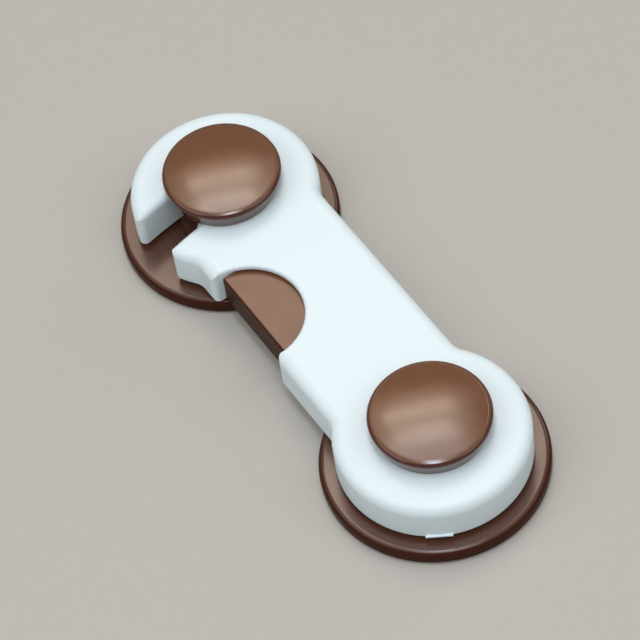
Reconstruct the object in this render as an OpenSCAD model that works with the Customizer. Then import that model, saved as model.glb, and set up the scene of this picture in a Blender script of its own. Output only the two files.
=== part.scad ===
// Cabinet safety lock: a hooked arm that turns on one stick-on post and holds on to another.
// Origin on the pivot post's axis at the furniture surface, +Y towards the catch post, +Z up.
// The mouth of the hook and the release button are on the -X side. Millimetres.

/* [Bases] */
// Diameter of each round base
base_d = 38; // [35:0.5:48]
// Thickness of each base disc
base_t = 2.2; // [1.8:0.1:4]
// Rounding of the disc's top rim
base_edge_r = 1; // [0.3:0.1:1.7]
// Diameter of the shoulder that the arm runs on
shoulder_d = 17; // [13:0.5:22]
// Height of the shoulder above the disc
shoulder_h = 1; // [0.6:0.1:2.5]
// Diameter of the posts
post_d = 7.6; // [7:0.1:8.4]

/* [Adhesive pads] */
// Diameter of the foam pad under each base
pad_d = 36.6; // [20:0.2:37]
// Thickness of the foam pad
pad_t = 0.8; // [0.4:0.1:2]

/* [Caps] */
// Diameter of a cap at its rim
cap_d = 20.3; // [17:0.1:26]
// Diameter of a cap at its foot
cap_foot_d = 18.6; // [15:0.1:20]
// Height of a cap from foot to rim
cap_h = 3.7; // [3:0.1:6]
// Rise of the dome above the rim
dome_h = 0.9; // [0.5:0.1:2]
// Rounding of the cap's rim
cap_edge_r = 0.8; // [0.2:0.05:0.9]
// Width of the soft shoulder between the dome and the rim
cap_shoulder_w = 0.95; // [0.7:0.05:1.2]
// Rounding of that shoulder
cap_shoulder_r = 5; // [3:0.1:6]
// Angle by which the shoulder breaks away from the dome
shoulder_break = 3; // [2.5:0.5:6]
// Wall of the cap, which is cored out from below
cap_wall = 1.6; // [1.2:0.1:2.2]
// Diameter of the spigot that enters the post
spigot_d = 4.6; // [4.2:0.1:5]
// Depth of the spigot below the cap's foot
spigot_h = 5; // [3:0.1:6]

/* [Arm] */
// Distance between the two posts
arm_length = 61.5; // [56:0.5:80]
// Diameter of the rings at both ends of the arm
ring_d = 32.4; // [31.4:0.1:34]
// Width of the bar between the rings
bar_w = 24.6; // [23.4:0.1:25.4]
// Height of the arm from its underside to its top
arm_t = 7.4; // [7:0.1:12]
// Rounding of the arm's top edge
edge_r = 2; // [0.6:0.1:2.4]
// Rounding of the upright corners of the hook's tips and the button recess
corner_r = 1; // [0.4:0.1:1.4]
// Side wall of the shell
side_wall = 1.8; // [1.4:0.1:2.2]
// Top wall of the shell
top_wall = 1.5; // [1.2:0.1:2.2]
// Thickness of the back plate
plate_t = 1.4; // [1.2:0.1:1.8]
// Wall of the sleeve that turns on the pivot post
sleeve_wall = 2; // [1.4:0.1:3]
// Wall around the hook's slot
slot_wall = 1.5; // [1.2:0.1:1.8]
// Rounding of the top edge of the hook's slot
slot_edge_r = 1.2; // [0.3:0.1:1.4]
// Width of the moulding gate's stub at the foot of the pivot ring
gate_w = 4.4; // [1:0.1:5]

/* [Release button] */
// Distance from the catch post to the middle of the button
button_offset = 25.1; // [25.1:0.1:27]
// Diameter of the half-round recess in the side of the bar
recess_d = 19.4; // [17:0.1:19.6]
// Distance of the recess centre behind the side of the bar
recess_inset = 0.5; // [0:0.1:0.8]
// Thickness of the lip of the shell over the button
lip_t = 0.9; // [0.9:0.1:1.2]
// Rounding of the lip's top edge
lip_edge_r = 0.6; // [0.3:0.1:0.8]
// Height of the gap between the lip and the top of the button
lip_gap = 0.6; // [0.4:0.05:0.8]
// Distance from the side of the bar in to the button's face
button_inset = 1.75; // [1.2:0.05:2.2]
// Depth of the button's body behind its face
button_depth = 9.05; // [8:0.05:9.2]
// Thickness of the front skirt that reaches the arm's underside
skirt_t = 1.8; // [1.2:0.1:2.4]
// How far the button can be pressed
button_travel = 3.2; // [2.4:0.1:3.2]
// Rounding of the button's front top edge
button_edge_r = 0.4; // [0.2:0.1:0.8]

/* [Latch bolt] */
// Width of the bolt's tooth
tooth_w = 3.8; // [3:0.1:4.4]
// Thickness of the bolt
bolt_t = 2.2; // [1.6:0.1:2.4]
// Width of the bolt's tail with the slanted slot
tail_w = 8.6; // [8.2:0.1:9]
// Diameter of the button's peg in the slanted slot
peg_d = 1.6; // [1.4:0.1:1.8]
// Least width of material beside the slanted slot
tail_rim = 0.7; // [0.6:0.1:0.9]

/* [Springs] */
// Outside diameter of both springs
spring_d = 3.6; // [3.2:0.1:3.8]
// Diameter of the spring wire
wire_d = 0.45; // [0.3:0.05:0.5]
// Number of turns of each spring
spring_turns = 7; // [4:1:8]
// Length of the button's spring as fitted
button_spring_l = 9; // [7.5:0.1:9.4]
// Length of the bolt's spring as fitted
bolt_spring_l = 9.5; // [8:0.1:9.8]

/* [Screws] */
// Thread diameter of the screws in the posts
post_screw_d = 2.9; // [2.4:0.1:3]
// Head diameter of the screws in the posts
post_screw_head_d = 5.4; // [4.8:0.1:5.6]
// Head height of the screws in the posts
post_screw_head_h = 1.9; // [1.4:0.1:2]
// Thread diameter of the back plate's screws
plate_screw_d = 2; // [1.6:0.1:2.2]
// Head diameter of the back plate's screws
plate_screw_head_d = 4; // [3.6:0.1:4.2]
// Length of the back plate's screws
plate_screw_l = 5; // [4:0.1:5.6]
// Diameter of the screw bosses in the shell
boss_d = 5; // [4.4:0.1:5.4]

/* [Clearances] */
// Radial running gap of the arm on the pivot post
running_gap = 0.1; // [0.05:0.01:0.1]
// Gap on each side of the catch post in the hook's slot
hook_gap = 0.25; // [0.2:0.05:0.4]
// Gap between the arm's underside and the shoulders
lift_gap = 0.2; // [0.1:0.05:0.4]
// Gap between the arm's top and the caps
cap_gap = 0.25; // [0.1:0.05:0.5]
// Gap on each side of the sliding pieces
slide_gap = 0.2; // [0.1:0.05:0.25]
// Gap around pieces that are screwed or pushed together
seat_gap = 0.1; // [0.05:0.01:0.15]

/* [Hidden] */
$fn = 96;

brown = "#74503f";
white = "#f2f8f8";
natural = "#e6e0d2";
steel = "#b9bcc0";
foam = "#d9cfb4";

// Overlap of cutting bodies past the faces they cut
cut = 1;
// Least depth of material behind a screw's tip and under a screw's head
floor_t = 0.6;
// Cross recess of the screws: bar length and width as shares of the head
cross_l = 0.6;
cross_w = 0.17;
// Moulding gate's stub: how far it stands off, its lift, its height and its place round the ring
gate_out = 0.3;
gate_lift = 0.1;
gate_h = 0.3;
gate_turn = -122;
// How far a corner's cut reaches past the sharp corner, as a share of the corner's distance
past_corner = 1.6;

// Heights, from the furniture surface up
base_z0 = pad_t;
base_z1 = base_z0 + base_t;
shoulder_z = base_z1 + shoulder_h;
arm_z0 = shoulder_z + lift_gap;
arm_z1 = arm_z0 + arm_t;
inside_z0 = arm_z0 + plate_t;
inside_z1 = arm_z1 - top_wall;
cap_z0 = arm_z1 + cap_gap;

// Post bores: head counterbore, screw clearance, then the spigot's socket
post_r = post_d / 2;
head_seat_z = base_z0 + floor_t + post_screw_head_h;
socket_z = cap_z0 - spigot_h - seat_gap;
spigot_r = spigot_d / 2;

// Arm outline
ring_r = ring_d / 2;
bar_x = bar_w / 2;
// Inside corner between a ring and the bar: direction from the ring's middle, radius and centre
junction_dir = [0.8, 0.6];
junction_r = (junction_dir[0] * ring_r - bar_x) / (1 - junction_dir[0]);
junction = (ring_r + junction_r) * junction_dir;
// Depth behind the outline that is clear of the rounded top edge
edge_depth = edge_r + cut / 10;
sleeve_r = post_r + running_gap + sleeve_wall;
slot_r = post_r + hook_gap;
slot_low_r = arm_length - slot_r;
slot_high_r = arm_length + slot_r;
// Turn about the pivot that carries the slot clear out of the hook ring
slot_sweep = 2 * asin((ring_r + slot_r) / (2 * arm_length));

// Latch bolt, in the arm's plan
bolt_x1 = -(post_r + 2 * hook_gap);
bolt_x0 = bolt_x1 - tooth_w;
bolt_z1 = inside_z1 - slide_gap;
bolt_z0 = bolt_z1 - bolt_t;
tail_y1 = slot_low_r - slot_wall - 2 * slide_gap;
peg_r = peg_d / 2;
cam_r = peg_r + slide_gap / 2;
peg_y = tail_y1 - tail_rim - cam_r - button_travel;
tail_y0 = peg_y - cam_r - tail_rim;
peg_x = bolt_x0 + tail_rim + cam_r;
// The tooth leaves the slot by slide_gap when the button is fully pressed
tooth_y = sqrt(pow(slot_low_r, 2) - pow((bolt_x0 + bolt_x1) / 2, 2)) + button_travel - slide_gap;
// Share of the tooth's width that is ramped
tooth_ramp = 0.66;

// Button, as wide as its window in the recess unless the drawn-back bolt leaves less room
button_y = arm_length - button_offset;
recess_r = recess_d / 2;
recess_x = recess_inset - bar_x;
button_face_x = button_inset - bar_x;
button_back_x = button_face_x + button_depth;
window_half = sqrt(pow(recess_r, 2) - pow(side_wall - recess_inset, 2));
button_half = min(window_half, tail_y0 - button_travel - button_y) - slide_gap;
button_z0 = inside_z0 + slide_gap;
lip_z = arm_z1 - lip_t;
button_z1 = lip_z - lip_gap;
stop_z1 = inside_z1 - 2 * slide_gap;
guide_t = 1.2;
// Tongue from the button to the peg under the bolt
tongue_rim = 0.8;
tongue_half = peg_r + tongue_rim;
tongue_z1 = bolt_z0 - slide_gap;

// Springs, on pegs inside their coils
spring_z = (inside_z0 + inside_z1) / 2;
spring_r = spring_d / 2;
spring_peg_r = spring_r - wire_d - slide_gap;
spring_peg_l = 1.6;
button_spring_y = button_y - button_half / 2;
button_seat_x = button_back_x + button_spring_l;
bolt_spring_x = button_back_x + button_travel + spring_r + 2 * slide_gap;
lug_t = 1.6;
lug_y = tail_y1 - lug_t;
bolt_seat_y = lug_y - bolt_spring_l;
seat_t = 1.4;
seat_half = spring_r + seat_gap;

// Back plate screws: pivot ring, bar below the button, between the spring seats, hook ring
boss_r = boss_d / 2;
boss_x = bar_x - side_wall - boss_r;
screw_spots = [
    [0, -(sleeve_r + ring_r - side_wall) / 2],
    [-boss_x, button_y - recess_r - guide_t - boss_d],
    [boss_x, (button_spring_y + bolt_seat_y) / 2],
    [0, arm_length + (slot_r + slot_wall + ring_r - side_wall) / 2]
];
plate_screw_r = plate_screw_d / 2;
plate_screw_head_h = (plate_screw_head_d - plate_screw_d) / 2;

// Half profile of a round body whose top edge is rounded
module rounded_half(r, z0, z1, edge) {
    translate([0, z0]) square([r, z1 - z0 - edge]);
    translate([0, z0]) square([r - edge, z1 - z0]);
    intersection() {
        translate([r - edge, z1 - edge]) circle(edge);
        translate([0, z0]) square([r + cut, z1 - z0 + cut]);
    }
}

// Half profile of a cut whose top edge flares out to leave a rounded lip at height z1
module flared_half(r, z0, z1, edge) {
    translate([0, z0]) square([r, z1 + cut - z0]);
    difference() {
        translate([r, z1 - edge]) square([edge, edge + cut]);
        translate([r + edge, z1 - edge]) circle(edge);
    }
}

// Upright cylinder at a place in plan, from height z0 to z1
module tube_at(x, y, r, z0, z1) {
    translate([x, y, z0]) cylinder(r = r, h = z1 - z0);
}

// Block between two heights and two pairs of plan limits
module box(x0, x1, y0, y1, z0, z1) {
    translate([x0, y0, z0]) cube([x1 - x0, y1 - y0, z1 - z0]);
}

// Base disc with its shoulder and hollow post
module base() {
    difference() {
        union() {
            rotate_extrude() rounded_half(base_d / 2, base_z0, base_z1, base_edge_r);
            tube_at(0, 0, shoulder_d / 2, base_z0, shoulder_z);
            tube_at(0, 0, post_r, base_z0, cap_z0);
        }
        tube_at(0, 0, post_screw_head_d / 2 + seat_gap, base_z0 - cut, head_seat_z);
        tube_at(0, 0, post_screw_d / 2 + seat_gap, base_z0, cap_z0);
        tube_at(0, 0, spigot_r + seat_gap, socket_z, cap_z0 + cut);
    }
}

// Round adhesive foam pad
module pad() {
    color(foam) cylinder(d = pad_d, h = pad_t);
}

// Half profile of a cap: a dome, a soft shoulder that breaks away from it, a rounded rim and a tapered side
module cap_half() {
    rim_r = cap_d / 2;
    edge_x = rim_r - cap_edge_r;
    dome_z = cap_z0 + cap_h + dome_h;
    dome_r = (pow(rim_r - cap_edge_r / 2, 2) + pow(dome_h, 2)) / (2 * dome_h);
    lean = asin((rim_r - cap_shoulder_w) / dome_r);
    steep = lean + shoulder_break;
    shoulder_x = dome_r * sin(lean) - cap_shoulder_r * sin(steep);
    shoulder_z = dome_z - dome_r + dome_r * cos(lean) - cap_shoulder_r * cos(steep);
    // The shoulder meets the rim where the rim's rounding leans by 30 degrees
    meet_x = edge_x + cap_edge_r * sin(30);
    meet_z = shoulder_z + sqrt(pow(cap_shoulder_r, 2) - pow(meet_x - shoulder_x, 2));
    edge_z = meet_z - cap_edge_r * cos(30);
    intersection() {
        union() {
            polygon([
                [0, cap_z0], [cap_foot_d / 2, cap_z0], [rim_r, edge_z],
                [edge_x, edge_z], [edge_x, dome_z + cut], [0, dome_z + cut]
            ]);
            translate([edge_x, edge_z]) circle(cap_edge_r);
        }
        translate([0, dome_z - dome_r]) circle(dome_r, $fn = 720);
        union() {
            translate([0, cap_z0 - cut]) square([shoulder_x + cap_shoulder_r * sin(lean), cap_h + dome_h + 3 * cut]);
            translate([0, cap_z0 - cut]) square([rim_r + cut, shoulder_z - cap_z0 + cut]);
            translate([shoulder_x, shoulder_z]) circle(cap_shoulder_r);
        }
    }
}

// Domed cap, cored out from below, and the spigot that takes the screw
module cap() {
    core_z1 = cap_z0 + cap_h - cap_wall;
    difference() {
        union() {
            rotate_extrude() cap_half();
            tube_at(0, 0, spigot_r, cap_z0 - spigot_h, core_z1);
        }
        difference() {
            tube_at(0, 0, cap_foot_d / 2 - cap_wall, cap_z0 - cut, core_z1);
            tube_at(0, 0, post_r, cap_z0 - spigot_h - cut, core_z1 + cut);
        }
        tube_at(0, 0, post_screw_d / 2 + seat_gap / 2, cap_z0 - spigot_h - cut, core_z1 - floor_t);
    }
}

// Cross recess in a screw head whose face is at z, to be cut away
module cross_recess(head_d, z) {
    half_l = head_d * cross_l / 2;
    half_w = head_d * cross_w / 2;
    for (turn = [0, 90])
        rotate([0, 0, turn]) box(-half_l, half_l, -half_w, half_w, z - cut, z + floor_t);
}

// Pan-head screw with a cross recess, head down
module post_screw() {
    head_z0 = head_seat_z - post_screw_head_h;
    tip_z = cap_z0 + cap_h - cap_wall - 2 * floor_t;
    color(steel) difference() {
        union() {
            tube_at(0, 0, post_screw_head_d / 2, head_z0, head_seat_z);
            tube_at(0, 0, post_screw_d / 2, head_z0, tip_z);
        }
        cross_recess(post_screw_head_d, head_z0);
    }
}

// Moves a piece from the pivot post to the catch post
module at_catch() {
    translate([0, arm_length, 0]) children();
}

// Ring about the origin, its rim open towards the bar between the two inside corners
module ring_sector() {
    near = (ring_r - edge_depth) * junction_dir;
    far = 2 * junction;
    difference() {
        rotate_extrude() rounded_half(ring_r, arm_z0, arm_z1, edge_r);
        translate([0, 0, arm_z0 - cut]) linear_extrude(arm_t + 2 * cut)
            polygon([near, far, [-far[0], far[1]], [-near[0], near[1]]]);
    }
}

// Rounded inside corner between a ring at the origin and the bar, on the +X side
module junction_fillet() {
    depth = edge_r + cut;
    difference() {
        translate([0, 0, arm_z0]) linear_extrude(arm_t)
            polygon([junction, (ring_r - depth) * junction_dir, [bar_x - depth, junction[1]]]);
        translate([junction[0], junction[1], 0])
            rotate_extrude() flared_half(junction_r, arm_z0 - cut, arm_z1, edge_r);
    }
}

// Half of the plain middle of the arm on the +X side, clear of the rounded edge
module arm_middle() {
    rim_r = ring_r - edge_depth;
    side_x = bar_x - edge_depth;
    half_turn = atan2(junction_dir[1], junction_dir[0]) / 2;
    bend = junction - (junction_r + edge_depth) * [cos(half_turn), sin(half_turn)];
    translate([0, 0, arm_z0]) linear_extrude(arm_t) polygon([
        [-cut, 0], [rim_r, 0], rim_r * junction_dir, bend,
        [side_x, junction[1]], [side_x, arm_length / 2 + cut], [-cut, arm_length / 2 + cut]
    ]);
}

// Half of the outside of the arm, at the pivot ring
module arm_end() {
    ring_sector();
    for (side = [0, 1])
        mirror([side, 0, 0]) {
            junction_fillet();
            arm_middle();
        }
}

// Outside of the arm: two ends and the bar between their inside corners
module arm_solid() {
    bar_l = arm_length - 2 * junction[1];
    arm_end();
    at_catch() mirror([0, 1, 0]) arm_end();
    translate([0, arm_length - junction[1], 0]) rotate([90, 0, 0]) linear_extrude(bar_l) {
        rounded_half(bar_x, arm_z0, arm_z1, edge_r);
        mirror([1, 0]) rounded_half(bar_x, arm_z0, arm_z1, edge_r);
    }
}

// Plain block inside the arm's outline, drawn in by inset
module arm_block(inset, z0, z1) {
    tube_at(0, 0, ring_r - inset, z0, z1);
    tube_at(0, arm_length, ring_r - inset, z0, z1);
    box(inset - bar_x, bar_x - inset, 0, arm_length, z0, z1);
}

// The hook's slot, an arc about the pivot, widened by grow
module slot_block(grow, z0, z1) {
    rotate([0, 0, 90]) rotate_extrude(angle = slot_sweep)
        translate([slot_low_r - grow, z0]) square([2 * (slot_r + grow), z1 - z0]);
    tube_at(0, arm_length, slot_r + grow, z0, z1);
}

// Cut of the slot with rounded top lips
module slot_cut() {
    rotate([0, 0, 90]) rotate_extrude(angle = slot_sweep) translate([arm_length, 0]) {
        flared_half(slot_r, arm_z0 - cut, arm_z1, slot_edge_r);
        mirror([1, 0]) flared_half(slot_r, arm_z0 - cut, arm_z1, slot_edge_r);
    }
    at_catch() rotate_extrude() flared_half(slot_r, arm_z0 - cut, arm_z1, slot_edge_r);
}

// Cuts away a sharp upright corner and leaves a round about a centre between two tangent points
module corner_cut(corner, from, centre, to) {
    translate([0, 0, arm_z0 - cut]) linear_extrude(arm_t + 2 * cut)
        difference() {
            polygon([corner, from, centre, to]);
            translate(centre) circle(corner_r);
        }
}

// Rounded tips of the hook, where an arc about the pivot meets the ring
module hook_tip_cut(arc_r, inner) {
    // Centre of the round, off the arc by corner_r and inside the ring by corner_r
    a = arc_r + (inner ? -corner_r : corner_r);
    b = ring_r - corner_r;
    centre_y = (pow(a, 2) - pow(b, 2) + pow(arm_length, 2)) / (2 * arm_length);
    centre_x = -sqrt(pow(a, 2) - pow(centre_y, 2));
    corner_y = (pow(arc_r, 2) - pow(ring_r, 2) + pow(arm_length, 2)) / (2 * arm_length);
    corner_x = -sqrt(pow(arc_r, 2) - pow(corner_y, 2));
    on_arc = [centre_x, centre_y] * arc_r / a;
    on_ring = [0, arm_length] + [centre_x, centre_y - arm_length] * ring_r / b;
    outward = [corner_x, corner_y] - [centre_x, centre_y];
    corner_cut([centre_x, centre_y] + past_corner * outward, on_arc, [centre_x, centre_y], on_ring);
}

// Rounded corner where the recess meets the side of the bar, above or below the button
module recess_corner_cut(side) {
    run = corner_r - recess_inset;
    rise = sqrt(pow(recess_r + corner_r, 2) - pow(run, 2));
    centre = [corner_r - bar_x, button_y + side * rise];
    on_recess = [recess_x, button_y] + [run, side * rise] * recess_r / (recess_r + corner_r);
    inside = [-bar_x - cut, button_y + side * (recess_r - corner_r / 2)];
    corner_cut(inside, [-bar_x - cut, centre[1]], centre, on_recess);
}

// Upright cylinders at the back plate's screws
module at_screw_spots(r, z0, z1) {
    for (spot = screw_spots)
        tube_at(spot[0], spot[1], r, z0, z1);
}

// Ribs under the top wall that guide the button
module button_guides() {
    guide_y0 = button_y - button_half - slide_gap;
    guide_y1 = button_y + button_half + slide_gap;
    lug_x = button_back_x - 2 * guide_t - slide_gap;
    box(side_wall - bar_x - cut, lug_x, guide_y0 - guide_t, guide_y0, inside_z0, inside_z1);
    box(side_wall - bar_x - cut, bolt_x0 - slide_gap, guide_y1, guide_y1 + guide_t, inside_z0, inside_z1);
}

// Room above the pressed button, which leaves the thin lip round the recess
module button_pocket() {
    half = button_half + slide_gap / 2;
    box(button_face_x, button_back_x + button_travel + slide_gap, button_y - half, button_y + half,
        inside_z1 - cut, lip_z);
}

// Seats for the springs' fixed ends, with a peg inside each coil
module spring_seats() {
    translate([button_seat_x, button_spring_y - seat_half, inside_z0])
        cube([seat_t, 2 * seat_half, inside_z1 - inside_z0]);
    translate([button_seat_x - spring_peg_l, button_spring_y, spring_z]) rotate([0, 90, 0])
        cylinder(r = spring_peg_r, h = spring_peg_l + cut);
    translate([bolt_spring_x - seat_half, bolt_seat_y - seat_t, inside_z0])
        cube([2 * seat_half, seat_t, inside_z1 - inside_z0]);
    translate([bolt_spring_x, bolt_seat_y - cut, spring_z]) rotate([-90, 0, 0])
        cylinder(r = spring_peg_r, h = spring_peg_l + cut);
}

// Stub left by the moulding gate at the foot of the pivot ring
module gate_stub() {
    rotate([0, 0, gate_turn]) translate([ring_r - side_wall / 2, -gate_w / 2, arm_z0 + gate_lift])
        cube([side_wall / 2 + gate_out, gate_w, gate_h]);
}

// Passage of the bolt's stem through the wall around the slot
module bolt_passage() {
    translate([bolt_x0 - slide_gap, tail_y0, bolt_z0 - slide_gap])
        cube([tooth_w + 2 * slide_gap, tooth_y - tail_y0, bolt_t + 2 * slide_gap]);
}

// White shell of the arm, open below
module arm_shell() {
    color(white) difference() {
        union() {
            difference() {
                arm_solid();
                difference() {
                    arm_block(side_wall, arm_z0 - cut, inside_z1);
                    tube_at(0, 0, sleeve_r, arm_z0 - cut, arm_z1);
                    slot_block(slot_wall, arm_z0 - cut, arm_z1);
                    at_screw_spots(boss_r, inside_z0, arm_z1);
                    button_guides();
                    spring_seats();
                }
            }
            gate_stub();
        }
        tube_at(0, 0, post_r + running_gap, arm_z0 - cut, arm_z1 + cut);
        slot_cut();
        hook_tip_cut(slot_low_r, true);
        hook_tip_cut(slot_high_r, false);
        translate([recess_x, button_y, 0])
            rotate_extrude() flared_half(recess_r, arm_z0 - cut, arm_z1, lip_edge_r);
        button_pocket();
        recess_corner_cut(1);
        recess_corner_cut(-1);
        bolt_passage();
        at_screw_spots(plate_screw_r + seat_gap / 2, inside_z0 - cut, arm_z0 + plate_screw_l + floor_t);
    }
}

// Plate set into the underside of the shell, with a notch for the button's skirt
module arm_back_plate() {
    notch_x = button_face_x + skirt_t + button_travel + 2 * slide_gap;
    notch_half = button_half + slide_gap;
    head_r = plate_screw_head_d / 2 + seat_gap;
    hole_r = plate_screw_r + seat_gap;
    color(white) difference() {
        arm_block(side_wall + seat_gap, arm_z0, inside_z0);
        tube_at(0, 0, sleeve_r + seat_gap, arm_z0 - cut, inside_z0 + cut);
        slot_block(slot_wall + seat_gap, arm_z0 - cut, inside_z0 + cut);
        translate([-bar_x - cut, button_y - notch_half, arm_z0 - cut])
            cube([notch_x + bar_x + cut, 2 * notch_half, plate_t + 2 * cut]);
        at_screw_spots(hole_r, arm_z0 - cut, inside_z0 + cut);
        for (spot = screw_spots)
            translate([spot[0], spot[1], arm_z0])
                cylinder(r1 = head_r, r2 = hole_r, h = plate_screw_head_h);
    }
}

// Countersunk screws of the back plate, heads down
module arm_screws() {
    color(steel) for (spot = screw_spots)
        translate([spot[0], spot[1], arm_z0]) difference() {
            union() {
                cylinder(r1 = plate_screw_head_d / 2, r2 = plate_screw_r, h = plate_screw_head_h);
                cylinder(r = plate_screw_r, h = plate_screw_l);
            }
            cross_recess(plate_screw_head_d, 0);
        }
}

// Cut that rounds the button's front top edge
module button_edge_cut() {
    translate([button_face_x, button_y - button_half - cut, button_z1]) rotate([-90, 0, 0])
        linear_extrude(2 * (button_half + cut)) difference() {
            translate([-cut, -cut]) square([button_edge_r + cut, button_edge_r + cut]);
            translate([button_edge_r, button_edge_r]) circle(button_edge_r);
        }
}

// Button with a front skirt, a stop lug, a spring peg and a tongue whose peg drives the bolt
module release_button() {
    y0 = button_y - button_half;
    y1 = button_y + button_half;
    lug_x = button_back_x - 2 * guide_t;
    color(brown) {
        difference() {
            union() {
                box(button_face_x, button_back_x, y0, y1, button_z0, button_z1);
                box(button_face_x, button_face_x + skirt_t, y0, y1, arm_z0, button_z1);
            }
            button_edge_cut();
        }
        box(lug_x, button_back_x, y0 - guide_t, y0 + cut, button_z0, stop_z1);
        box(peg_x - tongue_half, peg_x + tongue_half, y1 - cut, peg_y, button_z0, tongue_z1);
        tube_at(peg_x, peg_y, tongue_half, button_z0, tongue_z1);
        tube_at(peg_x, peg_y, peg_r, button_z0, bolt_z1 - slide_gap);
        translate([button_back_x - cut, button_spring_y, spring_z]) rotate([0, 90, 0])
            cylinder(r = spring_peg_r, h = spring_peg_l + cut);
    }
}

// Bolt with a ramped tooth, a slanted slot for the peg and a lug for its spring
module latch_bolt() {
    ramp = tooth_w * tooth_ramp;
    lug_x1 = bolt_spring_x + spring_r;
    tail_x1 = bolt_x0 + tail_w;
    color(natural) {
        difference() {
            translate([0, 0, bolt_z0]) linear_extrude(bolt_t) polygon([
                [bolt_x0, tail_y0], [tail_x1, tail_y0], [tail_x1, tail_y1], [bolt_x1, tail_y1],
                [bolt_x1, tooth_y], [bolt_x0 + ramp, tooth_y], [bolt_x0, tooth_y - ramp]
            ]);
            for (end = [0, button_travel])
                tube_at(peg_x + end, peg_y + end, cam_r, bolt_z0 - cut, bolt_z1 + cut);
            translate([peg_x, peg_y, bolt_z0 - cut]) rotate([0, 0, 45])
                translate([0, -cam_r, 0]) cube([button_travel * sqrt(2), 2 * cam_r, bolt_t + 2 * cut]);
        }
        box(tail_x1 - cut, lug_x1, lug_y, tail_y1, bolt_z0, bolt_z1);
        box(bolt_spring_x - spring_r, lug_x1, lug_y, tail_y1, spring_z - spring_r, bolt_z1);
        translate([bolt_spring_x, lug_y + cut / 2, spring_z]) rotate([90, 0, 0])
            cylinder(r = spring_peg_r, h = spring_peg_l + cut / 2);
    }
}

// Ring of points round the wire of a coil spring along +Z, t turns from its start
function coil_ring(t, turns, length, sides) =
    let (
        out = [cos(360 * t), sin(360 * t), 0],
        middle = (spring_d - wire_d) / 2 * out,
        z = wire_d / 2 + (length - wire_d) * t / turns
    ) [
        for (k = [0 : sides - 1])
            let (a = 360 * k / sides)
            middle + [0, 0, z] + wire_d / 2 * (cos(a) * out + [0, 0, sin(a)])
    ];

// Coil spring along +Z
module coil(turns, length) {
    // Corners of the wire's section and rings of points in each turn
    sides = 6;
    steps = 8;
    rings = steps * turns;
    points = [for (i = [0 : rings]) each coil_ring(i / steps, turns, length, sides)];
    walls = [
        for (i = [0 : rings - 1])
            for (k = [0 : sides - 1])
                let (a = i * sides + k, b = i * sides + (k + 1) % sides)
                each [[a, b, b + sides], [a, b + sides, a + sides]]
    ];
    first = [for (k = [1 : sides - 2]) [0, k + 1, k]];
    last = [for (k = [1 : sides - 2]) [rings * sides, rings * sides + k, rings * sides + k + 1]];
    polyhedron(points, concat(walls, first, last));
}

// Spring between the button's back and its seat in the shell
module button_spring() {
    color(steel) translate([button_back_x, button_spring_y, spring_z]) rotate([0, 90, 0])
        coil(spring_turns, button_spring_l);
}

// Spring between the bolt's lug and its seat in the shell
module bolt_spring() {
    color(steel) translate([bolt_spring_x, lug_y, spring_z]) rotate([90, 0, 0])
        coil(spring_turns, bolt_spring_l);
}

// Pieces by node name, at the pivot post and at the catch post
module pivot_base() { color(brown) base(); }
module pivot_pad() { pad(); }
module pivot_cap() { color(brown) cap(); }
module pivot_screw() { post_screw(); }
module catch_base() { color(brown) at_catch() base(); }
module catch_pad() { at_catch() pad(); }
module catch_cap() { color(brown) at_catch() cap(); }
module catch_screw() { at_catch() post_screw(); }

pivot_base();
pivot_pad();
pivot_cap();
pivot_screw();
catch_base();
catch_pad();
catch_cap();
catch_screw();
arm_shell();
arm_back_plate();
arm_screws();
release_button();
button_spring();
latch_bolt();
bolt_spring();
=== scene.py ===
"""Cabinet safety lock: finishes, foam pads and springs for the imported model, with light and camera."""
import math

import bmesh
import bpy
from mathutils import Matrix, Vector, noise


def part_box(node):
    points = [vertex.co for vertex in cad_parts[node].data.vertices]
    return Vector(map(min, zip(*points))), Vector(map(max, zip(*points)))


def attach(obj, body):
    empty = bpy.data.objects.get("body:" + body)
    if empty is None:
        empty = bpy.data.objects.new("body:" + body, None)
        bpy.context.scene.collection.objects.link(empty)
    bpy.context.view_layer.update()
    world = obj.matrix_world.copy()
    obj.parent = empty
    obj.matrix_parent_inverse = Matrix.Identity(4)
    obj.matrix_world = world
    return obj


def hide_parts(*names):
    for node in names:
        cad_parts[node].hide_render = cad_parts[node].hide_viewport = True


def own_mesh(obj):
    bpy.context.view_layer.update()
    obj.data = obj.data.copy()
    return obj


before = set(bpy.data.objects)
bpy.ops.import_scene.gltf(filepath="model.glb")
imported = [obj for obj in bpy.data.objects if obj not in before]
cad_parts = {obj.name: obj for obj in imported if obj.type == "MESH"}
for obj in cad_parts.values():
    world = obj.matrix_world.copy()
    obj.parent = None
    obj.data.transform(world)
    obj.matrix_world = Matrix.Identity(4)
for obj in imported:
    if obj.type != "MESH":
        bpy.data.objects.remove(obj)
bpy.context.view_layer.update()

MM = 0.001
CATCH_Y = 61.5 * MM  # distance between the two posts
POSTS = {"pivot": Vector((0, 0, 0)), "catch": Vector((0, CATCH_Y, 0))}

# ---------------------------------------------------------------- materials


def linear(code):
    """Linear colour of an sRGB hex value such as "6e4630"."""
    parts = [int(code[i : i + 2], 16) / 255 for i in (0, 2, 4)]
    return [c / 12.92 if c <= 0.04045 else ((c + 0.055) / 1.055) ** 2.4 for c in parts] + [1]


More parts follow.
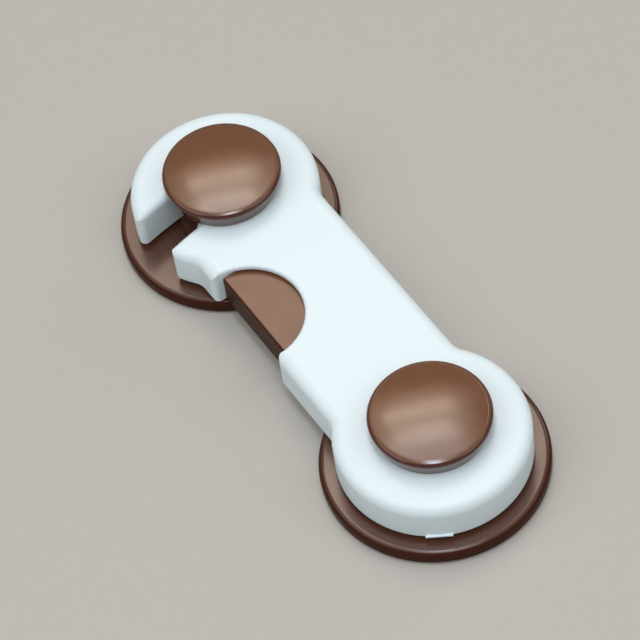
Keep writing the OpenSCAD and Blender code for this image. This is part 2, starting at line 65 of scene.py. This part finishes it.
def add(tree, kind, settings=(), **inputs):
    """Adds a node. settings are its options; each input is a value, or a (node, output) pair to link.
    An input goes by its name, with _ for a space, or by i and its number: a mix takes its colours at i6
    and i7."""
    made = tree.nodes.new(kind)
    for option, value in dict(settings).items():
        setattr(made, option, value)
    for name, value in inputs.items():
        socket = made.inputs[int(name[1:])] if name[1:].isdigit() else made.inputs[name.replace("_", " ")]
        if isinstance(value, tuple) and isinstance(value[0], bpy.types.Node):
            tree.links.new(value[0].outputs[value[1]], socket)
        else:
            socket.default_value = value
    return made


COLOUR_MIX = {"data_type": "RGBA"}
MIXED = 2  # output of a mix that holds its colour
NOISE_LOW, NOISE_HIGH = 0.3, 0.7  # most values of a noise pattern lie between these


def new_material(name):
    """An empty material, and its node tree."""
    made = bpy.data.materials.new(name)
    made.use_nodes = True
    made.node_tree.nodes.clear()
    return made, made.node_tree


def per_mm(size):
    """Texture scale at which one cell of a pattern is about size millimetres, in metre coordinates."""
    return 1 / (size * MM)


# Upward share of a face's normal, from where it counts as upright to where it counts as flat, for the
# painted shade of upright brown faces
UPRIGHT_COLOUR, FLAT_COLOUR = 0.75, 0.985
UPRIGHT_SHINE, FLAT_SHINE = 0.8, 0.995
FLAT_SPECULAR = 0.8  # specular level of the flat brown faces


def moulded_abs(name, main, deep, rough, grain_mm, grain, side=None):
    """ABS from a steel mould: even colour with a faint cloud from the melt, a soft gloss that changes a
    little over the surface, and the fine grain of the mould wall. side is a painted shade for its upright
    faces: their darker colour, and their specular level, lowered so that they mirror little of the pale
    floor."""
    made, tree = new_material(name)
    place = add(tree, "ShaderNodeTexCoord")
    at = (place, "Object")
    # The melt's flow clouds are some 9 mm across
    cloud = add(tree, "ShaderNodeTexNoise", Vector=at, Scale=per_mm(9), Detail=3, Roughness=0.5)
    tint = add(tree, "ShaderNodeMix", COLOUR_MIX, i0=(cloud, "Fac"), i6=linear(deep), i7=linear(main))
    colour = (tint, MIXED)
    if side:
        side_shade_colour, side_specular = side
        # Painted shade: upright faces take the darker side colour, blended in by the upward share of the
        # normal
        facing = add(tree, "ShaderNodeNewGeometry")
        upward = add(tree, "ShaderNodeSeparateXYZ", Vector=(facing, "Normal"))
        flatness = add(
            tree, "ShaderNodeMapRange", Value=(upward, "Z"), From_Min=UPRIGHT_COLOUR, From_Max=FLAT_COLOUR
        )
        both = add(tree, "ShaderNodeMix", COLOUR_MIX, i0=(flatness, 0), i6=linear(side_shade_colour), i7=colour)
        colour = (both, MIXED)
        # Upright faces also get a lower specular level, so that they mirror little of the pale floor
        shine = add(
            tree,
            "ShaderNodeMapRange",
            Value=(upward, "Z"),
            From_Min=UPRIGHT_SHINE,
            From_Max=FLAT_SHINE,
            To_Min=side_specular,
            To_Max=FLAT_SPECULAR,
        )
    # Handling leaves 4 mm patches that are a little duller
    patch = add(tree, "ShaderNodeTexNoise", Vector=at, Scale=per_mm(4), Detail=4, Roughness=0.6)
    gloss = add(
        tree,
        "ShaderNodeMapRange",
        Value=(patch, "Fac"),
        From_Min=NOISE_LOW,
        From_Max=NOISE_HIGH,
        To_Min=rough - 0.03,
        To_Max=rough + 0.04,
    )
    # A spark-eroded mould has grains of 0.05 mm; drawn coarser so that they show
    grains = add(tree, "ShaderNodeTexNoise", Vector=at, Scale=per_mm(grain_mm), Detail=2, Roughness=0.6)
    skin = add(tree, "ShaderNodeBump", Strength=grain, Distance=0.02 * MM, Height=(grains, "Fac"))
    # Sinking of the wall as it cools: a slow wave, 12 mm long
    sink = add(tree, "ShaderNodeTexNoise", Vector=at, Scale=per_mm(12), Detail=1)
    wave = add(
        tree,
        "ShaderNodeBump",
        Strength=0.25,
        Distance=0.06 * MM,
        Height=(sink, "Fac"),
        Normal=(skin, "Normal"),
    )
    shell = add(
        tree,
        "ShaderNodeBsdfPrincipled",
        Base_Color=colour,
        Roughness=(gloss, 0),
        IOR=1.53,
        Normal=(wave, "Normal"),
    )
    if side:
        tree.links.new(shine.outputs[0], shell.inputs["Specular IOR Level"])
    add(tree, "ShaderNodeOutputMaterial", Surface=(shell, "BSDF"))
    return made


# White ABS: cool white, soft satin gloss, broad round edges that shade slowly
WHITE_ABS = moulded_abs("white_moulded_abs", "e4f4fb", "e1f1f8", rough=0.45, grain_mm=0.35, grain=0.10)
# Brown ABS of the caps: polished mould, so lamps show as bands on the dome; the rim and wall are painted
# deeper and redder, as painted shade
CAP_ABS = moulded_abs(
    "brown_polished_abs", "704930", "6a442c", rough=0.16, grain_mm=0.3, grain=0.04, side=("4a2014", 0.7)
)
# Brown ABS of the discs: same compound, a little duller; its brown is painted darker than the caps' as
# painted shade for their low place by the floor, and the round rim is painted darker still, with little
# reflection
DISC_ABS = moulded_abs(
    "brown_satin_abs", "583627", "513123", rough=0.24, grain_mm=0.3, grain=0.06, side=("42251b", 0.03)
)
# Brown ABS of the button: dull, so that a finger does not slip; its upright faces are painted darker, as
# painted shade
BUTTON_ABS = moulded_abs(
    "brown_matt_abs", "744b32", "6e462e", rough=0.34, grain_mm=0.3, grain=0.10, side=("41261a", 0.03)
)


def natural_acetal():
    """Uncoloured acetal, moulded: milky, waxy, with light that goes a little way in."""
    made, tree = new_material("natural_moulded_acetal")
    place = add(tree, "ShaderNodeTexCoord")
    cloud = add(tree, "ShaderNodeTexNoise", Vector=(place, "Object"), Scale=per_mm(3), Detail=3)
    tint = add(
        tree, "ShaderNodeMix", COLOUR_MIX, i0=(cloud, "Fac"), i6=linear("e8e4da"), i7=linear("f2efe6")
    )
    grains = add(tree, "ShaderNodeTexNoise", Vector=(place, "Object"), Scale=per_mm(0.3), Detail=2)
    skin = add(tree, "ShaderNodeBump", Strength=0.08, Distance=0.02 * MM, Height=(grains, "Fac"))
    body = add(
        tree,
        "ShaderNodeBsdfPrincipled",
        Base_Color=(tint, MIXED),
        Roughness=0.34,
        IOR=1.48,
        Normal=(skin, "Normal"),
        Subsurface_Weight=0.2,
        Subsurface_Scale=0.4 * MM,
    )
    add(tree, "ShaderNodeOutputMaterial", Surface=(body, "BSDF"))
    return made


def bright_steel(name, main, deep, rough, patch_mm, scratch):
    """Steel with a thin bright skin: cloudy grey patches and fine tool marks."""
    made, tree = new_material(name)
    place = add(tree, "ShaderNodeTexCoord")
    patch = add(tree, "ShaderNodeTexNoise", Vector=(place, "Object"), Scale=per_mm(patch_mm), Detail=4)
    tint = add(tree, "ShaderNodeMix", COLOUR_MIX, i0=(patch, "Fac"), i6=linear(deep), i7=linear(main))
    gloss = add(
        tree,
        "ShaderNodeMapRange",
        Value=(patch, "Fac"),
        From_Min=NOISE_LOW,
        From_Max=NOISE_HIGH,
        To_Min=rough - 0.06,
        To_Max=rough + 0.08,
    )
    # Tool marks are finer than 0.05 mm; drawn at 0.15 mm so that they show
    marks = add(tree, "ShaderNodeTexNoise", Vector=(place, "Object"), Scale=per_mm(0.15), Detail=3)
    skin = add(tree, "ShaderNodeBump", Strength=scratch, Distance=0.01 * MM, Height=(marks, "Fac"))
    body = add(
        tree,
        "ShaderNodeBsdfPrincipled",
        Base_Color=(tint, MIXED),
        Metallic=1,
        Roughness=(gloss, 0),
        Normal=(skin, "Normal"),
    )
    add(tree, "ShaderNodeOutputMaterial", Surface=(body, "BSDF"))
    return made


def closed_cell_foam():
    """Polyethylene foam, die cut: cream, dull, with small closed cells that show as pits on the cut edge."""
    made, tree = new_material("cream_closed_cell_foam")
    place = add(tree, "ShaderNodeTexCoord")
    # Cells are 0.2 to 0.3 mm across
    cells = add(tree, "ShaderNodeTexVoronoi", Vector=(place, "Object"), Scale=per_mm(0.28))
    skin = add(tree, "ShaderNodeBump", Strength=0.6, Distance=0.08 * MM, Height=(cells, "Distance"))
    shade = add(
        tree, "ShaderNodeMix", COLOUR_MIX, i0=(cells, "Distance"), i6=linear("e9e0cd"), i7=linear("d8ccb4")
    )
    body = add(
        tree,
        "ShaderNodeBsdfPrincipled",
        Base_Color=(shade, MIXED),
        Roughness=0.75,
        IOR=1.5,
        Normal=(skin, "Normal"),
    )
    add(tree, "ShaderNodeOutputMaterial", Surface=(body, "BSDF"))
    return made


# Acetal of the bolt: milky and waxy
ACETAL = natural_acetal()
# Zinc-plated steel of the screws: bright cold grey with faint clouds
ZINC_STEEL = bright_steel("zinc_plated_steel", "c9ccd0", "b3b7bc", rough=0.30, patch_mm=1.2, scratch=0.15)
# Drawn steel of the springs: darker, warmer grey, with the marks of the die
SPRING_STEEL = bright_steel("drawn_spring_steel", "b9b8b5", "9d9c99", rough=0.26, patch_mm=0.8, scratch=0.20)
# Foam of the pads: dull cream
FOAM = closed_cell_foam()

FINISHES = {
    "pivot_base": DISC_ABS,
    "catch_base": DISC_ABS,
    "pivot_cap": CAP_ABS,
    "catch_cap": CAP_ABS,
    "release_button": BUTTON_ABS,
    "arm_shell": WHITE_ABS,
    "arm_back_plate": WHITE_ABS,
    "latch_bolt": ACETAL,
    "pivot_screw": ZINC_STEEL,
    "catch_screw": ZINC_STEEL,
    "arm_screws": ZINC_STEEL,
}
for node_name, finish in FINISHES.items():
    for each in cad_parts[node_name].material_slots:
        each.link = "OBJECT"
        each.material = finish

# ---------------------------------------------------------------- soft and wound pieces


def make_piece(name, mesh_code, finish, body, node_name):
    """Turns mesh code into a named piece that rides on a body and stands for a node."""
    bm = bmesh.new()
    mesh_code(bm)
    bmesh.ops.recalc_face_normals(bm, faces=bm.faces)
    mesh = bpy.data.meshes.new(name)
    bm.to_mesh(mesh)
    bm.free()
    mesh.materials.append(finish)
    piece = bpy.data.objects.new(name, mesh)
    bpy.context.scene.collection.objects.link(piece)
    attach(piece, body)
    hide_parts(node_name)
    return piece


def skin_rings(bm, rings):
    """Joins rings of points, each a closed loop with the same count, into one tube with closed ends."""
    rows = [[bm.verts.new(p) for p in ring] for ring in rings]
    count = len(rows[0])
    for low, high in zip(rows, rows[1:]):
        for k in range(count):
            face = bm.faces.new((low[k], low[(k + 1) % count], high[(k + 1) % count], high[k]))
            face.smooth = True
    bm.faces.new(rows[0])
    bm.faces.new(rows[-1])


PAD_R, PAD_T = 18.3 * MM, 0.8 * MM
PAD_LIP = 0.10 * MM  # how far the edge swells past its rims
PAD_AROUND, PAD_DOWN = 420, 12  # points round the edge, and steps from face to face
PAD_FACE_RINGS = (0.35, 0.7, 0.9, 0.97)  # rings of each flat face, as shares of the radius
CELL, PIT = 0.3 * MM, 0.07 * MM  # size and depth of an open cell
PIT_LEVEL, PIT_SLOPE = 0.9, 1.6  # share of that depth in a cell's middle, and what a width takes off it
PAD_SKIN = 0.02 * MM  # no cell is open this close to a face


def foam_pad(centre):
    """Die-cut foam disc: flat faces, and a cut edge that swells a little and shows its cells."""

    def code(bm):
        outline = [(PAD_R * share - PAD_LIP, 0.0) for share in PAD_FACE_RINGS]
        for z in [PAD_T * i / PAD_DOWN for i in range(PAD_DOWN + 1)]:
            lean = abs(2 * z / PAD_T - 1) ** 3
            outline.append((PAD_R - PAD_LIP * lean, z))
        outline += [(PAD_R * share - PAD_LIP, PAD_T) for share in reversed(PAD_FACE_RINGS)]
        rings = []
        for r, z in outline:
            ring = []
            on_edge = PAD_SKIN < z < PAD_T - PAD_SKIN
            for k in range(PAD_AROUND):
                a = 2 * math.pi * k / PAD_AROUND
                depth = 0.0
                if on_edge:
                    here = Vector((math.cos(a) * r, math.sin(a) * r, z)) / CELL
                    depth = PIT * max(0.0, PIT_LEVEL - noise.voronoi(here)[0][0] * PIT_SLOPE)
                ring.append(centre + Vector((math.cos(a) * (r - depth), math.sin(a) * (r - depth), z)))
            rings.append(ring)
        skin_rings(bm, rings)

    return code


for post, centre in POSTS.items():
    pad = make_piece(post + "_foam_pad", foam_pad(centre), FOAM, "bases", post + "_pad")

WIRE_D, COIL_D = 0.45, 3.6  # wire and outside of both springs, in millimetres
TURNS = 7
PER_TURN, WIRE_CORNERS = 40, 14  # rings in a turn, and corners of a ring
CLOSED_GAP = 1.08  # pitch of an end turn, in wire diameters
GROUND, GROUND_SHARE = 0.03 * MM, 0.35  # what grinding takes off an end: a length, and a share of the wire


def wound_spring(start, axis, side, length):
    """Compression spring: closed, ground end turns and an even pitch between them."""
    wire_r, coil_r = WIRE_D / 2 * MM, (COIL_D - WIRE_D) / 2 * MM
    end_pitch = 2 * wire_r * CLOSED_GAP
    open_pitch = (length - 2 * wire_r - 2 * end_pitch) / (TURNS - 2)
    along, out = Vector(axis), Vector(side)
    across = along.cross(out)
    low_end, high_end = GROUND + wire_r * GROUND_SHARE, length - GROUND - wire_r * GROUND_SHARE

    def height(turn):
        """Distance along the spring after that many turns."""
        if turn < 1:
            return end_pitch * turn
        if turn > TURNS - 1:
            return end_pitch + open_pitch * (TURNS - 2) + end_pitch * (turn - TURNS + 1)
        return end_pitch + open_pitch * (turn - 1)

    def code(bm):
        rings = []
        for i in range(PER_TURN * TURNS + 1):
            turn = i / PER_TURN
            a = 2 * math.pi * turn
            radial = out * math.cos(a) + across * math.sin(a)
            ring = []
            for k in range(WIRE_CORNERS):
                c = 2 * math.pi * k / WIRE_CORNERS
                rise = wire_r + height(turn) + wire_r * math.sin(c)
                rise = min(max(rise, low_end), high_end)
                ring.append(start + radial * (coil_r + wire_r * math.cos(c)) + along * rise)
            rings.append(ring)
        skin_rings(bm, rings)

    return code


def box_of(node_name):
    """Low corner, high corner and middle of a node."""
    low, high = (Vector(corner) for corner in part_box(node_name))
    return low, high, (low + high) / 2


low, high, middle = box_of("button_spring")
BUTTON_SPRING_L = high.x - low.x
button_end, button_seat = Vector((low.x, middle.y, middle.z)), Vector((high.x, middle.y, middle.z))
low, high, middle = box_of("bolt_spring")
BOLT_SPRING_L = high.y - low.y
bolt_seat = Vector((middle.x, low.y, middle.z))
button_coil = make_piece(
    "button_return_spring",
    wound_spring(button_end, (1, 0, 0), (0, 1, 0), BUTTON_SPRING_L),
    SPRING_STEEL,
    "arm",
    "button_spring",
)
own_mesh(button_coil)
bolt_coil = make_piece(
    "bolt_return_spring",
    wound_spring(bolt_seat, (0, 1, 0), (1, 0, 0), BOLT_SPRING_L),
    SPRING_STEEL,
    "arm",
    "bolt_spring",
)
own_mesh(bolt_coil)

# ---------------------------------------------------------------- floor, light and camera

scene = bpy.context.scene
scene.view_settings.view_transform = "Standard"
TARGET = Vector((0.86 * MM, 35.28 * MM, 0))  # point that the lamps and the camera look at
FLOOR_REACH = 3.0
FLOOR_Z = -0.02 * MM  # a hair below the pads, so that no two faces share a plane


def pale_floor():
    """Plain pale board with a faint tooth, so that the lock's shadow lies on something."""
    made, tree = new_material("pale_matt_board")
    place = add(tree, "ShaderNodeTexCoord")
    tooth = add(tree, "ShaderNodeTexNoise", Vector=(place, "Object"), Scale=per_mm(2), Detail=3)
    tint = add(
        tree, "ShaderNodeMix", COLOUR_MIX, i0=(tooth, "Fac"), i6=linear("b9b6b1"), i7=linear("bdbab5")
    )
    board = add(tree, "ShaderNodeBsdfDiffuse", Color=(tint, MIXED))
    add(tree, "ShaderNodeOutputMaterial", Surface=(board, "BSDF"))
    mesh = bpy.data.meshes.new("floor")
    signs = ((-1, -1), (1, -1), (1, 1), (-1, 1))
    corners = [(x * FLOOR_REACH, y * FLOOR_REACH, FLOOR_Z) for x, y in signs]
    mesh.from_pydata(corners, [], [(0, 1, 2, 3)])
    mesh.materials.append(made)
    floor = bpy.data.objects.new("floor", mesh)
    scene.collection.objects.link(floor)


def sky(strength):
    """Even light of a bright room."""
    world = bpy.data.worlds.new("bright_room")
    world.use_nodes = True
    world.node_tree.nodes.clear()
    room = add(world.node_tree, "ShaderNodeBackground", Color=linear("fbf8f2"), Strength=strength)
    add(world.node_tree, "ShaderNodeOutputWorld", Surface=(room, "Background"))
    scene.world = world


def soft_panel(name, azimuth, elevation, distance, width, height, level, colour):
    """Flat soft lamp that looks at the lock. level is what it adds to a white sheet on the floor."""
    a, e = math.radians(azimuth), math.radians(elevation)
    back = Vector((math.sin(a) * math.cos(e), math.cos(a) * math.cos(e), math.sin(e)))
    lamp = bpy.data.lights.new(name, "AREA")
    lamp.shape = "RECTANGLE"
    lamp.size, lamp.size_y = width, height
    # A white sheet takes radiance * width * height * sin(elevation) / distance**2, over pi
    radiance = level * math.pi * distance**2 / (width * height * math.sin(e))
    lamp.energy = radiance * math.pi * width * height
    lamp.color = linear(colour)[:3]
    panel = bpy.data.objects.new(name, lamp)
    turned = back.to_track_quat("Z", "Y").to_matrix().to_4x4()
    panel.matrix_world = Matrix.Translation(back * distance + TARGET) @ turned
    scene.collection.objects.link(panel)


# Each lamp's azimuth and elevation in degrees, distance, width and height in metres, level and colour
LAMPS = {
    "left_lamp": (282, 46, 1.3, 1.0, 0.8, 0.165, "ffffff"),
    "right_lamp": (140, 44, 1.3, 0.8, 0.7, 0.09, "ffffff"),
    "front_lamp": (206, 66, 1.3, 0.7, 0.5, 0.25, "ffffff"),
    # Beyond on the right, for the round edges of the discs to mirror
    "far_right_lamp": (77, 25, 2, 0.7, 0.6, 0.03, "fff5e6"),
    # Beyond the lock, for the domes and flat brown faces to mirror: a glow, warmer low down, with two bands
    "far_glow": (25, 63, 3, 1.8, 1.5, 0.065, "ffecd8"),
    "middle_glow": (25, 62, 3, 1.3, 0.95, 0.05, "ffeedc"),
    "low_glow": (23, 53, 3, 1.2, 0.60, 0.014, "ffcfa4"),
    "high_glow": (26, 75, 3, 1.2, 0.75, 0.045, "f2f5ff"),
    "high_band": (23, 66.3, 3, 1.0, 0.28, 0.024, "fff5ea"),
    "low_band": (23, 57.5, 3, 1.1, 0.30, 0.017, "fff2e2"),
    # Overhead, for a crescent on the caps' near shoulders
    "top_lamp": (206, 86.5, 1.0, 0.12, 0.28, 0.15, "e6f2ff"),
}
pale_floor()
sky(0.25)
for lamp_name, values in LAMPS.items():
    soft_panel(lamp_name, *values)

VIEW_AZIMUTH, VIEW_ELEVATION, VIEW_ROLL = (math.radians(d) for d in (-26.227, 54.805, -9.299))
VIEW_DISTANCE = 538.74 * MM
SENSOR_MM, FOCAL_PX, IMAGE_PX = 36, 3195.85, 640
back = Vector(
    (
        math.sin(VIEW_AZIMUTH) * math.cos(VIEW_ELEVATION),
        -math.cos(VIEW_AZIMUTH) * math.cos(VIEW_ELEVATION),
        math.sin(VIEW_ELEVATION),
    )
)
level_right = Vector((math.cos(VIEW_AZIMUTH), math.sin(VIEW_AZIMUTH), 0))
level_up = back.cross(level_right)
right = level_right * math.cos(VIEW_ROLL) + level_up * math.sin(VIEW_ROLL)
up = level_up * math.cos(VIEW_ROLL) - level_right * math.sin(VIEW_ROLL)
lens = bpy.data.cameras.new("camera")
lens.sensor_width = SENSOR_MM
lens.lens = SENSOR_MM * FOCAL_PX / IMAGE_PX
lens.clip_start, lens.clip_end = 0.01, 20
camera = bpy.data.objects.new("camera", lens)
turned = Matrix((right, up, back)).transposed().to_4x4()
camera.matrix_world = Matrix.Translation(TARGET + back * VIEW_DISTANCE) @ turned
scene.collection.objects.link(camera)
scene.camera = camera

bpy.context.view_layer.update()
